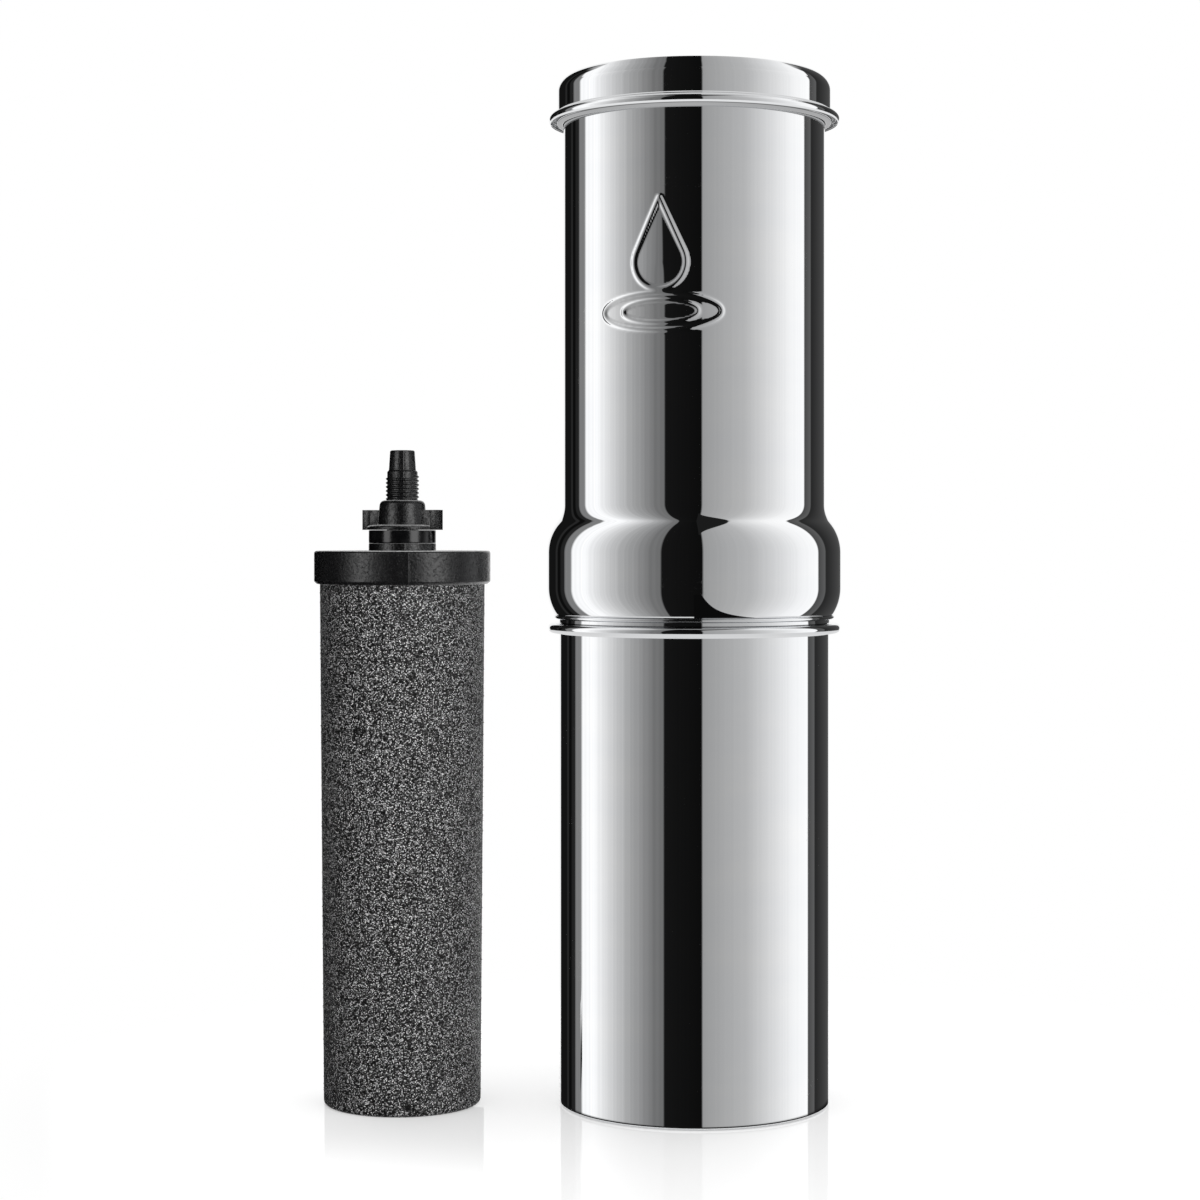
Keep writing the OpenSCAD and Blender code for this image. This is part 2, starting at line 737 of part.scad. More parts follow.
module tap_lever() {
    hub_r = 3.3;
    heel = pivot_out * cos(lever_turn) + stem_lift * sin(lever_turn);
    reach = heel - pivot_out;
    drop = pivot_out * sin(lever_turn) - stem_lift * cos(lever_turn);
    heel_wall = 1.9;
    heel_r = pin_r + heel_wall;
    cheek_t = cheek_out - cheek_in;
    grip_w = 13;            // width of the finger plate
    grip_l = 12;            // length of the finger plate below the tip
    lean = 3;               // how far the plate's middle lies off the pivot
    front_t = 2.6;          // plate in front of that middle
    back_t = 2.2;           // plate behind it
    bead = 0.8;             // swelling at the tip
    tip = 2;                // corner of the tip
    waist = 3;              // straight part of the cheeks above the hub
    color(black_plastic)
        difference() {
            union() {
                across_x(pivot_y, pivot_z, cheek_out)
                    cylinder(r = hub_r, h = 2 * cheek_out);
                for (side = [-1, 1])
                    translate([side * (cheek_in + cheek_out) / 2, 0, 0]) {
                        across_x(pivot_y - heel, pivot_z - drop / 2, cheek_t / 2)
                            cylinder(r = heel_r, h = cheek_t);
                        translate([-cheek_t / 2, pivot_y - heel, pivot_z - drop / 2 - heel_r])
                            cube([cheek_t, heel, 2 * heel_r]);
                    }
                intersection() {
                    translate([-grip_w, pivot_y, pivot_z])
                        rotate([90, 0, 90])
                            linear_extrude(2 * grip_w)
                                polygon([
                                    [-hub_r, 0], [hub_r, 0], [lean + front_t, lever_l - grip_l],
                                    [lean + front_t + bead, lever_l - tip],
                                    [lean + front_t - bead / 2, lever_l],
                                    [lean - back_t + bead, lever_l], [lean - back_t, lever_l - tip],
                                    [lean - back_t, lever_l - grip_l]
                                ]);
                    translate([0, pivot_y + 2 * hub_r + lean, pivot_z])
                        rotate([90, 0, 0])
                            linear_extrude(4 * hub_r + 2 * lean)
                                polygon([
                                    [-cheek_out, 0], [cheek_out, 0], [cheek_out, hub_r + waist],
                                    [grip_w / 2, lever_l - grip_l], [grip_w / 2, lever_l - tip],
                                    [grip_w / 2 - tip, lever_l], [tip - grip_w / 2, lever_l],
                                    [-grip_w / 2, lever_l - tip], [-grip_w / 2, lever_l - grip_l],
                                    [-cheek_out, hub_r + waist]
                                ]);
                }
            }
            slot(reach, drop);
            across_x(pivot_y, pivot_z, cheek_out + over)
                cylinder(r = lever_pin_r + slip / 2, h = 2 * (cheek_out + over));
        }
}

module tap_lever_pin() {
    proud = 0.4;
    half = ear_out + proud;
    color(steel)
        across_x(pivot_y, pivot_z, half)
            cylinder(r = lever_pin_r, h = 2 * half);
}

lower_chamber();
upper_chamber();
upper_floor();
lid();
fitted() carbon_block();  // fitted_carbon_block
fitted() core_tube();  // fitted_core_tube
fitted() end_cap();  // fitted_end_cap
fitted() washer();  // fitted_washer
fitted() wing_nut(0, sheet + slip);  // fitted_wing_nut
spare() carbon_block();  // spare_carbon_block
spare() core_tube();  // spare_core_tube
spare() end_cap();  // spare_end_cap
spare() washer();  // spare_washer
spare() wing_nut(spare_nut_turn, 0);  // spare_wing_nut
tap_body();
tap_outer_washer();
tap_inner_washer();
tap_jam_nut();
tap_bonnet();
tap_gland_ring();
tap_stem();
tap_stem_pin();
tap_seat_cup();
tap_spring();
tap_lever();
tap_lever_pin();
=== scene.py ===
"""Looks for a countertop gravity water filter, laid over its CAD model. Metres, +Z up."""

import json
import math

import bmesh
import bpy
import numpy as np
from mathutils import Matrix, Vector


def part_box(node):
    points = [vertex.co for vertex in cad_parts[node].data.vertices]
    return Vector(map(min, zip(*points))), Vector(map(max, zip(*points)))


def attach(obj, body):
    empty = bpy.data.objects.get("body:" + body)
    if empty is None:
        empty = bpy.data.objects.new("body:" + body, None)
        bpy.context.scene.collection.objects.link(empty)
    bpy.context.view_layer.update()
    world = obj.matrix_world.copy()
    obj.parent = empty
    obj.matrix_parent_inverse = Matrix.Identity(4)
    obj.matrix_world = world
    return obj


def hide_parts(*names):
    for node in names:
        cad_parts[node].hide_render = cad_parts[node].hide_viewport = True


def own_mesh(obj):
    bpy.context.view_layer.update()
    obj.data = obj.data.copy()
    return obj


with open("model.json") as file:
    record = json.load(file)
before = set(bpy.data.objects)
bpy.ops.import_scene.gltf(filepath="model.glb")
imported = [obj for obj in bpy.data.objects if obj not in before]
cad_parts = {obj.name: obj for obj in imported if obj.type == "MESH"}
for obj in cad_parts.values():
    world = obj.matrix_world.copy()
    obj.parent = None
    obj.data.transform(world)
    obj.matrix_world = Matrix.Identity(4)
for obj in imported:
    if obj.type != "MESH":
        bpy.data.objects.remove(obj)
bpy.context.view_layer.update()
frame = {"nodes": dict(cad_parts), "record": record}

MM = 0.001
TURN = 2 * math.pi
NEAR = 1e-6                 # radii and heights that differ by less are the same
SAME = 1e-7                 # points closer than this are one

# Sizes read off the frame
spare_cap_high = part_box("spare_end_cap")[1]
spare_x = spare_cap_high.x - spare_cap_high.y       # axis of the cartridge that stands beside the housing
lower_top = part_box("lower_chamber")[1].z
upper_low, upper_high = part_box("upper_chamber")


def widest(node, below):
    """The largest x of a node's points under a height."""
    return max(v.co.x for v in frame["nodes"][node].data.vertices if v.co.z < below)


wall_low_r = widest("lower_chamber", lower_top / 2)
upper_low_r = widest("upper_chamber", upper_low.z + NEAR)


# Nodes written as expressions

class Value:
    """A node's output that sums can be written on."""

    def __init__(self, graph, socket):
        self.graph = graph
        self.socket = socket

    def __add__(self, other):
        return self.graph.maths("ADD", self, other)

    def __radd__(self, other):
        return self.graph.maths("ADD", other, self)

    def __sub__(self, other):
        return self.graph.maths("SUBTRACT", self, other)

    def __rsub__(self, other):
        return self.graph.maths("SUBTRACT", other, self)

    def __mul__(self, other):
        return self.graph.maths("MULTIPLY", self, other)

    def __rmul__(self, other):
        return self.graph.maths("MULTIPLY", other, self)

    def __truediv__(self, other):
        return self.graph.maths("DIVIDE", self, other)

    def __rtruediv__(self, other):
        return self.graph.maths("DIVIDE", other, self)

    def __pow__(self, other):
        return self.graph.maths("POWER", self, other)


class Graph:
    """A node tree, filled one node at a time."""

    def __init__(self, tree):
        self.tree = tree
        tree.nodes.clear()

    def node(self, kind, settings=None, inputs=None, output=0):
        """Adds a node: its settings first, then the values or links of its sockets. Returns one output."""
        made = self.tree.nodes.new(kind)
        for name, value in (settings or {}).items():
            if name == "stops":
                self._stops(made.color_ramp, value)
            else:
                setattr(made, name, value)
        for name, value in (inputs or {}).items():
            self.feed(made.inputs[name], value)
        return Value(self, made.outputs[output]) if made.outputs else made

    def feed(self, socket, value):
        if isinstance(value, Value):
            self.tree.links.new(value.socket, socket)
        else:
            socket.default_value = value

    @staticmethod
    def _stops(ramp, stops):
        while len(ramp.elements) < len(stops):
            ramp.elements.new(0.5)
        for element, (place, tone) in zip(ramp.elements, stops):
            element.position = place
            element.color = (*tone, 1) if isinstance(tone, tuple) else (tone, tone, tone, 1)

    def maths(self, operation, *values):
        return self.node("ShaderNodeMath", {"operation": operation}, dict(enumerate(values)))

    def place(self):
        """Object coordinates: the whole point, then its three parts."""
        point = self.node("ShaderNodeTexCoord", output="Object")
        parts = self.node("ShaderNodeSeparateXYZ", inputs={"Vector": point})
        return point, *[Value(self, parts.socket.node.outputs[axis]) for axis in "XYZ"]

    def spot(self, x, y, z):
        return self.node("ShaderNodeCombineXYZ", inputs={"X": x, "Y": y, "Z": z})

    def noise(self, where, scale, detail=2.0, roughness=0.5):
        inputs = {"Vector": where, "Scale": scale, "Detail": detail, "Roughness": roughness}
        return self.node("ShaderNodeTexNoise", inputs=inputs)

    def ease(self, value, low, high, to_low=0.0, to_high=1.0):
        """Runs smoothly from to_low to to_high while value goes from low to high."""
        inputs = {"Value": value, "From Min": low, "From Max": high, "To Min": to_low, "To Max": to_high}
        return self.node("ShaderNodeMapRange", {"interpolation_type": "SMOOTHSTEP"}, inputs)

    def blend(self, share, first, second):
        """Mixes two colours."""
        made = self.node("ShaderNodeMix", {"data_type": "RGBA"}).socket.node
        named = {s.identifier: s for s in made.inputs}
        self.feed(named["Factor_Float"], share)
        self.feed(named["A_Color"], first if isinstance(first, Value) else (*first, 1))
        self.feed(named["B_Color"], second if isinstance(second, Value) else (*second, 1))
        return Value(self, {s.identifier: s for s in made.outputs}["Result_Color"])

    def vector(self, operation, inputs):
        return self.node("ShaderNodeVectorMath", {"operation": operation}, inputs)

    def bump(self, height, distance, strength=1.0):
        inputs = {"Height": height, "Distance": distance, "Strength": strength}
        return self.node("ShaderNodeBump", inputs=inputs)

    def surface(self, shader):
        self.node("ShaderNodeOutputMaterial", inputs={"Surface": shader})


def new_material(name):
    made = bpy.data.materials.new(name)
    made.use_nodes = True
    return made, Graph(made.node_tree)


def linear(tone):
    """A screen tone from 0 to 255 as a linear one."""
    share = tone / 255
    return share / 12.92 if share <= 0.04045 else ((share + 0.055) / 1.055) ** 2.4


# Finishes

STEEL_TONE = 0.80           # share of the light that the steel gives back


def off_axis(x, y):
    """Distance from the housing's axis, as an expression."""
    return (x * x + y * y) ** 0.5


def polished_steel():
    """Spun, mirror-polished sheet: faint turning lines, slow waves, wiping marks and hairline scratches."""
    made, g = new_material("polished_steel")
    point, x, y, z = g.place()
    lines = g.noise(g.spot(off_axis(x, y), 0.0, z), 2600.0, detail=3.0, roughness=0.7)
    waves = g.noise(point, 16.0, detail=1.0)
    wiped = g.noise(g.spot(x * 0.35, y * 0.35, z), 55.0, detail=4.0, roughness=0.6)
    hair = g.node("ShaderNodeTexWave", {"wave_type": "BANDS", "bands_direction": "DIAGONAL"},
                  {"Vector": point, "Scale": 90.0, "Distortion": 14.0, "Detail": 3.0, "Detail Scale": 2.5})
    scratches = g.ease(hair, 0.992, 1.0) * g.ease(wiped, 0.5, 0.68)
    rough = g.ease(wiped, 0.35, 0.75, 0.014, 0.034) + scratches * 0.1
    tone = g.blend(g.ease(wiped, 0.3, 0.8), (0.79, 0.80, 0.815), (0.82, 0.825, 0.83))
    height = lines * 0.012 + waves + scratches * -0.01
    shader = g.node("ShaderNodeBsdfPrincipled", inputs={
        "Base Color": tone, "Metallic": 1.0, "Roughness": rough, "Normal": g.bump(height, 3.0e-5)})
    g.surface(shader)
    return made


def wire_steel():
    """Drawn and turned stainless steel with close tool marks."""
    made, g = new_material("wire_steel")
    point, x, y, z = g.place()
    marks = g.noise(g.spot(x * 0.2, y, z), 4200.0, detail=3.0, roughness=0.7)
    cloud = g.noise(point, 260.0, detail=3.0)
    shader = g.node("ShaderNodeBsdfPrincipled", inputs={
        "Base Color": g.blend(cloud, (0.55, 0.56, 0.58), (0.69, 0.70, 0.72)), "Metallic": 1.0,
        "Roughness": g.ease(marks, 0.3, 0.7, 0.2, 0.34), "Normal": g.bump(marks, 4.0e-6)})
    g.surface(shader)
    return made


def black_plastic():
    """Injection-moulded black plastic: a soft shine, flow marks, a fine mould texture and dust in it."""
    made, g = new_material("black_plastic")
    point, x, y, z = g.place()
    grain = g.noise(point, 1500.0, detail=3.0, roughness=0.6)
    flow = g.noise(g.spot(x, y, z * 0.25), 150.0, detail=5.0, roughness=0.65)
    rubbed = g.noise(point, 900.0, detail=4.0, roughness=0.65)
    specks = g.ease(g.noise(point, 2100.0, detail=1.0), 0.70, 0.76)
    tone = g.blend(flow, (0.004, 0.004, 0.0043), (0.011, 0.011, 0.0115))
    tone = g.blend(specks * 0.3, tone, (0.12, 0.12, 0.12))
    rough = g.ease(flow, 0.3, 0.7, 0.16, 0.24) + g.ease(rubbed, 0.45, 0.75) * 0.22
    shader = g.node("ShaderNodeBsdfPrincipled", inputs={
        "Base Color": tone, "Roughness": rough, "IOR": 1.5,
        "Coat Weight": g.ease(rubbed, 0.6, 0.4, 0.0, 0.35), "Coat Roughness": 0.2,
        "Normal": g.bump(grain + flow * 0.4, 1.7e-4)})
    g.surface(shader)
    return made


def carbon_block():
    """Sintered carbon: packed grains of random tone, broken faces that lean their own ways, painted glints on
    the brightest grains and painted shade in the pits between them.
    """
    made, g = new_material("carbon_block")
    point, *_ = g.place()
    inputs = {"Vector": point, "Scale": 2300.0, "Randomness": 1.0}
    cells = g.node("ShaderNodeTexVoronoi", {"feature": "F1"}, inputs)
    colour = Value(g, cells.socket.node.outputs["Color"])
    shade = g.node("ShaderNodeSeparateColor", inputs={"Color": colour})
    small = g.node("ShaderNodeTexVoronoi", {"feature": "F1"}, {"Vector": point, "Scale": 3400.0})
    # Painted light in the colour: the brightest grains are painted glints, and the pits between grains get
    # painted shade
    painted_pit_shade = g.ease(cells, 0.32, 0.56)
    tone = g.blend(shade ** 2.6, (0.002, 0.002, 0.0022), (0.95, 0.95, 0.955))
    tone = g.blend(painted_pit_shade * 0.95, tone, (0.003, 0.003, 0.003))
    # Each grain's broken face leans its own way
    lean = g.vector("SUBTRACT", {0: colour, 1: (0.5, 0.5, 0.5)})
    lean = g.vector("SCALE", {0: lean, "Scale": 1.1})
    lean = g.vector("ADD", {0: g.node("ShaderNodeNewGeometry", output="Normal"), 1: lean})
    height = 1 - cells * 1.1 + small * -0.35
    bump = g.bump(height, 2.4e-4, 0.8)
    g.feed(bump.socket.node.inputs["Normal"], g.vector("NORMALIZE", {0: lean}))
    shader = g.node("ShaderNodeBsdfPrincipled", inputs={
        "Base Color": tone, "Roughness": 0.6 - shade * 0.2, "IOR": 1.3, "Normal": bump})
    g.surface(shader)
    return made


def black_rubber():
    """Matte rubber with a bloom and a fine ground texture."""
    made, g = new_material("black_rubber")
    point, *_ = g.place()
    bloom = g.noise(point, 300.0, detail=5.0, roughness=0.7)
    ground = g.noise(point, 4500.0, detail=2.0)
    shader = g.node("ShaderNodeBsdfPrincipled", inputs={
        "Base Color": g.blend(g.ease(bloom, 0.4, 0.75), (0.005, 0.005, 0.0055), (0.013, 0.013, 0.014)),
        "Roughness": g.ease(bloom, 0.3, 0.7, 0.12, 0.2), "Normal": g.bump(ground, 1.2e-5)})
    g.surface(shader)
    return made


def pale_plastic(name, low, high, pores):
    """Pale moulded or porous material, mottled, with pores of one size."""
    made, g = new_material(name)
    point, *_ = g.place()
    mottle = g.noise(point, 190.0, detail=4.0)
    cells = g.node("ShaderNodeTexVoronoi", {"feature": "F1"}, {"Vector": point, "Scale": pores})
    shader = g.node("ShaderNodeBsdfPrincipled", inputs={
        "Base Color": g.blend(mottle, low, high), "Roughness": g.ease(cells, 0.1, 0.6, 0.4, 0.6),
        "Subsurface Weight": 0.08, "Subsurface Scale": 0.002, "Normal": g.bump(cells, 6.0e-5)})
    g.surface(shader)
    return made


FINISH = {
    "polished_steel": polished_steel(),
    "wire_steel": wire_steel(),
    "black_plastic": black_plastic(),
    "carbon_block": carbon_block(),
    "black_rubber": black_rubber(),
    "core_plastic": pale_plastic("core_plastic", (0.66, 0.66, 0.64), (0.78, 0.78, 0.76), 2600.0),
    "silicone": pale_plastic("silicone", (0.68, 0.66, 0.61), (0.80, 0.78, 0.73), 900.0),
}
SLOT = {row["node"]: row["material_slot"] for row in frame["record"]["subparts"]}
BODY = {node: body for body, nodes in frame["record"]["behaviour"]["bodies"].items() for node in nodes}


# Making pieces

def cad_copy(node):
    """A node's mesh with its loose triangles joined."""
    mesh = bmesh.new()
    mesh.from_mesh(frame["nodes"][node].data)
    bmesh.ops.remove_doubles(mesh, verts=mesh.verts, dist=NEAR)
    return mesh


def section(node, axis_x=0.0):
    """The closed half section of a turned node, as points (radius, height) from its seam at +X."""
    mesh = cad_copy(node)
    seam = [v for v in mesh.verts if abs(v.co.y) < NEAR and v.co.x > axis_x - NEAR]
    on_seam = set(seam)
    near = {v: [e.other_vert(v) for e in v.link_edges if e.other_vert(v) in on_seam] for v in seam}
    runs, used = [], set()
    for start in sorted(seam, key=lambda v: (len(near[v]), v.co.z, v.co.x)):
        if start in used:
            continue
        run = [start]
        used.add(start)
        while True:
            onward = [v for v in near[run[-1]] if v not in used]
            if not onward:
                break
            run.append(onward[0])
            used.add(onward[0])
        runs.append([(v.co.x - axis_x, v.co.z) for v in run])
    mesh.free()
    # A flat ring has no seam: runs meet at the same height, and a disc runs in to the axis
    line = runs.pop(0)
    while runs:
        gaps = [(abs(run[end][1] - line[-1][1]), k, end) for k, run in enumerate(runs) for end in (0, -1)]
        gap, k, end = min(gaps)
        if gap > 2 * NEAR:
            line.append((0.0, line[-1][1]))
            ends = [run[end][1] for run in runs for end in (0, -1)]
            line.append((0.0, min(ends, key=lambda h: abs(h - line[-1][1]))))
            continue
        run = runs.pop(k)
        line += run if end == 0 else run[::-1]
    if abs(line[0][1] - line[-1][1]) > 2 * NEAR and line[0][0] > NEAR:
        line = [(0.0, line[0][1])] + line + [(0.0, line[-1][1])]
    clean = [line[0]]
    for point in line[1:]:
        if math.dist(point, clean[-1]) > SAME:
            clean.append(point)
    return clean


def rounded(line, radius=0.12 * MM, least=25.0):
    """Rounds the sharp corners of a closed section, as deburring does."""
    done = []
    for k, here in enumerate(line):
        back, ahead = line[k - 1], line[(k + 1) % len(line)]
        a = Vector(back) - Vector(here)
        b = Vector(ahead) - Vector(here)
        if here[0] < NEAR or min(a.length, b.length) < SAME or 180 - math.degrees(a.angle(b)) < least:
            done.append(here)
            continue
        cut = min(radius, 0.4 * a.length, 0.4 * b.length)
        first, last = Vector(here) + a.normalized() * cut, Vector(here) + b.normalized() * cut
        for t in (0.0, 0.33, 0.67, 1.0):
            spot = first * (1 - t) ** 2 + Vector(here) * 2 * t * (1 - t) + last * t ** 2
            done.append((spot.x, spot.y))
    return done


def held(line, reach=0.5 * MM):
    """Adds points near both ends of each long straight run, so that it keeps its own shading."""
    done = []
    for k, here in enumerate(line):
        ahead = line[(k + 1) % len(line)]
        done.append(here)
        length = math.dist(here, ahead)
        if length > 5 * reach and max(here[0], ahead[0]) > NEAR:
            for share in (reach / length, 1 - reach / length):
                done.append((here[0] + (ahead[0] - here[0]) * share, here[1] + (ahead[1] - here[1]) * share))
    return done


def outline(node, axis_x=0.0, radius=0.12 * MM):
    """A turned node's half section, ready to be turned into a piece."""
    return held(rounded(section(node, axis_x), radius))


def fuller_roll(line, radius, top, swell=0.15 * MM):
    """Swells a rim's roll downwards and outwards, with its crown and its place on the wall as they were."""
    middle = max(p[0] for p in line) - radius
    done = []
    for r, z in line:
        if r > middle and z > top - 2.2 * radius:
            off = Vector((r - middle, z - (top - radius)))
            off *= (off.length + swell) / off.length
            r, z = middle + off.x, top - radius - swell + off.y
        done.append((r, z))
    return done


def split(line, radius, low, high, step):
    """Cuts the straight run at one radius into even rows between two heights."""
    done = []
    for k, here in enumerate(line):
        ahead = line[(k + 1) % len(line)]
        done.append(here)
        straight = abs(here[0] - radius) < NEAR and abs(ahead[0] - radius) < NEAR
        if straight and abs(ahead[1] - here[1]) > high - low:
            count = round((high - low) / step)
            rows = [low + (high - low) * i / count for i in range(count + 1)]
            done += [(radius, z) for z in (rows if ahead[1] > here[1] else rows[::-1])]
    return done


def even(count):
    return [TURN * i / count for i in range(count)]


def mesh_piece(name, points, faces):
    mesh = bpy.data.meshes.new(name)
    mesh.from_pydata([tuple(p) for p in points], [], faces)
    work = bmesh.new()
    work.from_mesh(mesh)
    bmesh.ops.remove_doubles(work, verts=work.verts, dist=SAME)
    bmesh.ops.dissolve_degenerate(work, edges=work.edges, dist=SAME / 10)
    bmesh.ops.recalc_face_normals(work, faces=work.faces)
    for face in work.faces:
        face.smooth = True
    work.to_mesh(mesh)
    work.free()
    piece = bpy.data.objects.new(name, mesh)
    bpy.context.scene.collection.objects.link(piece)
    return piece


def turned(name, line, azimuths, axis_x=0.0, relief=None):
    """Turns a closed section round a vertical axis. Azimuth 0 looks at the camera's side, -Y."""
    azimuth = np.array(azimuths)[:, None]
    radius = np.array([p[0] for p in line])[None, :]
    height = np.array([p[1] for p in line])[None, :] + 0 * azimuth
    radius = radius + 0 * azimuth
    if relief is not None:
        radius = radius + relief(azimuth + 0 * radius, radius, height)
    points = np.stack([axis_x + radius * np.sin(azimuth), -radius * np.cos(azimuth), height], -1)
    columns, rows = len(azimuths), len(line)
    faces = []
    for i in range(columns):
        here, ahead = i * rows, (i + 1) % columns * rows
        for j in range(rows):
            k = (j + 1) % rows
            if line[j][0] > NEAR or line[k][0] > NEAR:
                faces.append((here + j, ahead + j, ahead + k, here + k))
    return mesh_piece(name, points.reshape(-1, 3), faces)


def finish_piece(piece, *nodes):
    """Gives a piece the finish and body of the nodes that it stands for."""
    slot = SLOT[nodes[0]]
    piece.data.materials.clear()
    piece.data.materials.append(FINISH[slot])
    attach(piece, BODY[nodes[0]])
    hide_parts(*nodes)
    return piece


FLAT = math.radians(0.4)            # facets that turn by less are joined
BEVELLED = math.radians(38)         # edges that turn by more are rounded off
SHARP = math.radians(32)            # edges that turn by more keep a hard shading
THREAD_SHARP = math.radians(50)
EDGE_R = 0.2 * MM


def moulded(name, node):
    """A copy of a node with its sharp edges rounded off."""
    work = cad_copy(node)
    bmesh.ops.dissolve_limit(work, angle_limit=FLAT, verts=work.verts, edges=work.edges)
    mesh = bpy.data.meshes.new(name)
    work.to_mesh(mesh)
    work.free()
    raw = bpy.data.objects.new(name + "_raw", mesh)
    bpy.context.scene.collection.objects.link(raw)
    bevel = raw.modifiers.new("edge", "BEVEL")
    bevel.width = EDGE_R
    bevel.segments = 2
    bevel.limit_method = "ANGLE"
    bevel.angle_limit = BEVELLED
    bevel.miter_outer = "MITER_ARC"
    bevel.harden_normals = False
    piece = applied(name, raw)
    for face in piece.data.polygons:
        face.use_smooth = True
    piece.data.set_sharp_from_angle(angle=SHARP)
    return finish_piece(piece, node)


def applied(name, raw):
    """The evaluated mesh of an object as a plain piece. The object itself is removed."""
    bpy.context.view_layer.update()
    graph = bpy.context.evaluated_depsgraph_get()
    mesh = bpy.data.meshes.new_from_object(raw.evaluated_get(graph))
    mesh.name = name
    bpy.data.objects.remove(raw)
    piece = bpy.data.objects.new(name, mesh)
    bpy.context.scene.collection.objects.link(piece)
    return piece


# Geometry Nodes: a wire or a thread wound round an axis, and grains on a block

CREST_SHARE = 0.16          # width of a thread's crest as a share of its root
WIRE_SIDES = 12


def coil_tree(name, round_wire, finish):
    """A tree that winds a wire, or a thread's ridge, upwards round the Z axis."""
    tree = bpy.data.node_groups.new(name, "GeometryNodeTree")
    g = Graph(tree)
    for label in ("Radius", "Pitch", "Turns", "Width", "Depth"):
        tree.interface.new_socket(name=label, in_out="INPUT", socket_type="NodeSocketFloat")
    tree.interface.new_socket(name="Steps a Turn", in_out="INPUT", socket_type="NodeSocketInt")
    tree.interface.new_socket(name="Coil", in_out="OUTPUT", socket_type="NodeSocketGeometry")
    start = g.node("NodeGroupInput").socket.node
    sizes = {s.name: Value(g, s) for s in start.outputs if s.name}
    path = g.node("GeometryNodeCurveSpiral", inputs={
        "Resolution": sizes["Steps a Turn"], "Rotations": sizes["Turns"], "Start Radius": sizes["Radius"],
        "End Radius": sizes["Radius"], "Height": sizes["Pitch"] * sizes["Turns"]})
    path = g.node("GeometryNodeSetCurveNormal", {"mode": "Z_UP"}, {"Curve": path})
    if round_wire:
        profile = g.node("GeometryNodeCurvePrimitiveCircle", inputs={
            "Resolution": WIRE_SIDES, "Radius": sizes["Width"] * 0.5})
    else:
        tooth = g.node("GeometryNodeCurvePrimitiveQuadrilateral", {"mode": "TRAPEZOID"}, {
            "Bottom Width": sizes["Width"], "Top Width": sizes["Width"] * CREST_SHARE, "Offset": 0.0,
            "Height": sizes["Depth"]})
        profile = g.node("GeometryNodeTransform", inputs={
            "Geometry": tooth, "Rotation": (0.0, 0.0, math.pi / 2)})
    coil = g.node("GeometryNodeCurveToMesh", inputs={
        "Curve": path, "Profile Curve": profile, "Fill Caps": True})
    coil = g.node("GeometryNodeRealizeInstances", inputs={"Geometry": coil})
    coil = g.node("GeometryNodeSetMaterial", inputs={"Geometry": coil, "Material": finish})
    g.node("NodeGroupOutput", inputs={"Coil": coil})
    return tree


def coil_piece(name, tree, place, **sizes):
    """Runs a coil tree with its sizes, and puts the plain mesh in its place."""
    raw = bpy.data.objects.new(name + "_raw", bpy.data.meshes.new(name + "_raw"))
    bpy.context.scene.collection.objects.link(raw)
    modifier = raw.modifiers.new("coil", "NODES")
    modifier.node_group = tree
    for item in tree.interface.items_tree:
        if item.in_out == "INPUT":
            modifier[item.identifier] = sizes[item.name.replace(" ", "_").lower()]
    piece = applied(name, raw)
    piece.data.transform(place)
    for face in piece.data.polygons:
        face.use_smooth = True
    piece.data.set_sharp_from_angle(angle=THREAD_SHARP)
    return piece


def grain_tree(finish):
    """A tree that scatters broken grains over a block's outside."""
    tree = bpy.data.node_groups.new("grains", "GeometryNodeTree")
    g = Graph(tree)
    tree.interface.new_socket(name="Block", in_out="INPUT", socket_type="NodeSocketGeometry")
    for label in ("Grain Size", "Grains a Square Metre"):
        tree.interface.new_socket(name=label, in_out="INPUT", socket_type="NodeSocketFloat")
    tree.interface.new_socket(name="Seed", in_out="INPUT", socket_type="NodeSocketInt")
    tree.interface.new_socket(name="Block", in_out="OUTPUT", socket_type="NodeSocketGeometry")
    start = g.node("NodeGroupInput").socket.node
    sizes = {s.name: Value(g, s) for s in start.outputs if s.name}
    spots = g.node("GeometryNodeDistributePointsOnFaces", inputs={
        "Mesh": sizes["Block"], "Density": sizes["Grains a Square Metre"], "Seed": sizes["Seed"]})
    turn = Value(g, spots.socket.node.outputs["Rotation"])
    grain = g.node("GeometryNodeMeshIcoSphere", inputs={
        "Radius": sizes["Grain Size"] * 0.5, "Subdivisions": 1})
    reach = g.node("FunctionNodeRandomValue", {"data_type": "FLOAT_VECTOR"}, {
        "Min": (0.5, 0.5, 0.3), "Max": (1.2, 1.2, 0.8), "Seed": sizes["Seed"]})
    grains = g.node("GeometryNodeInstanceOnPoints", inputs={
        "Points": spots, "Instance": grain, "Rotation": turn, "Scale": reach})
    both = g.node("GeometryNodeJoinGeometry")
    for part in (sizes["Block"], grains):
        tree.links.new(part.socket, both.socket.node.inputs[0])
    both = g.node("GeometryNodeRealizeInstances", inputs={"Geometry": both})
    both = g.node("GeometryNodeSetMaterial", inputs={"Geometry": both, "Material": finish})
    g.node("NodeGroupOutput", inputs={"Block": both})
    return tree


# Steel chambers and lid

SHEET = 0.6 * MM                    # thickness of the steel
ROLL_R = 1.7 * MM                   # outer radius of a rim's roll in the solid
NECK = 30 * MM                      # height of plain wall under the upper rim, at the least
wall_r = min(p[0] for p in section("upper_chamber") if p[1] > upper_high.z - NECK) + SHEET

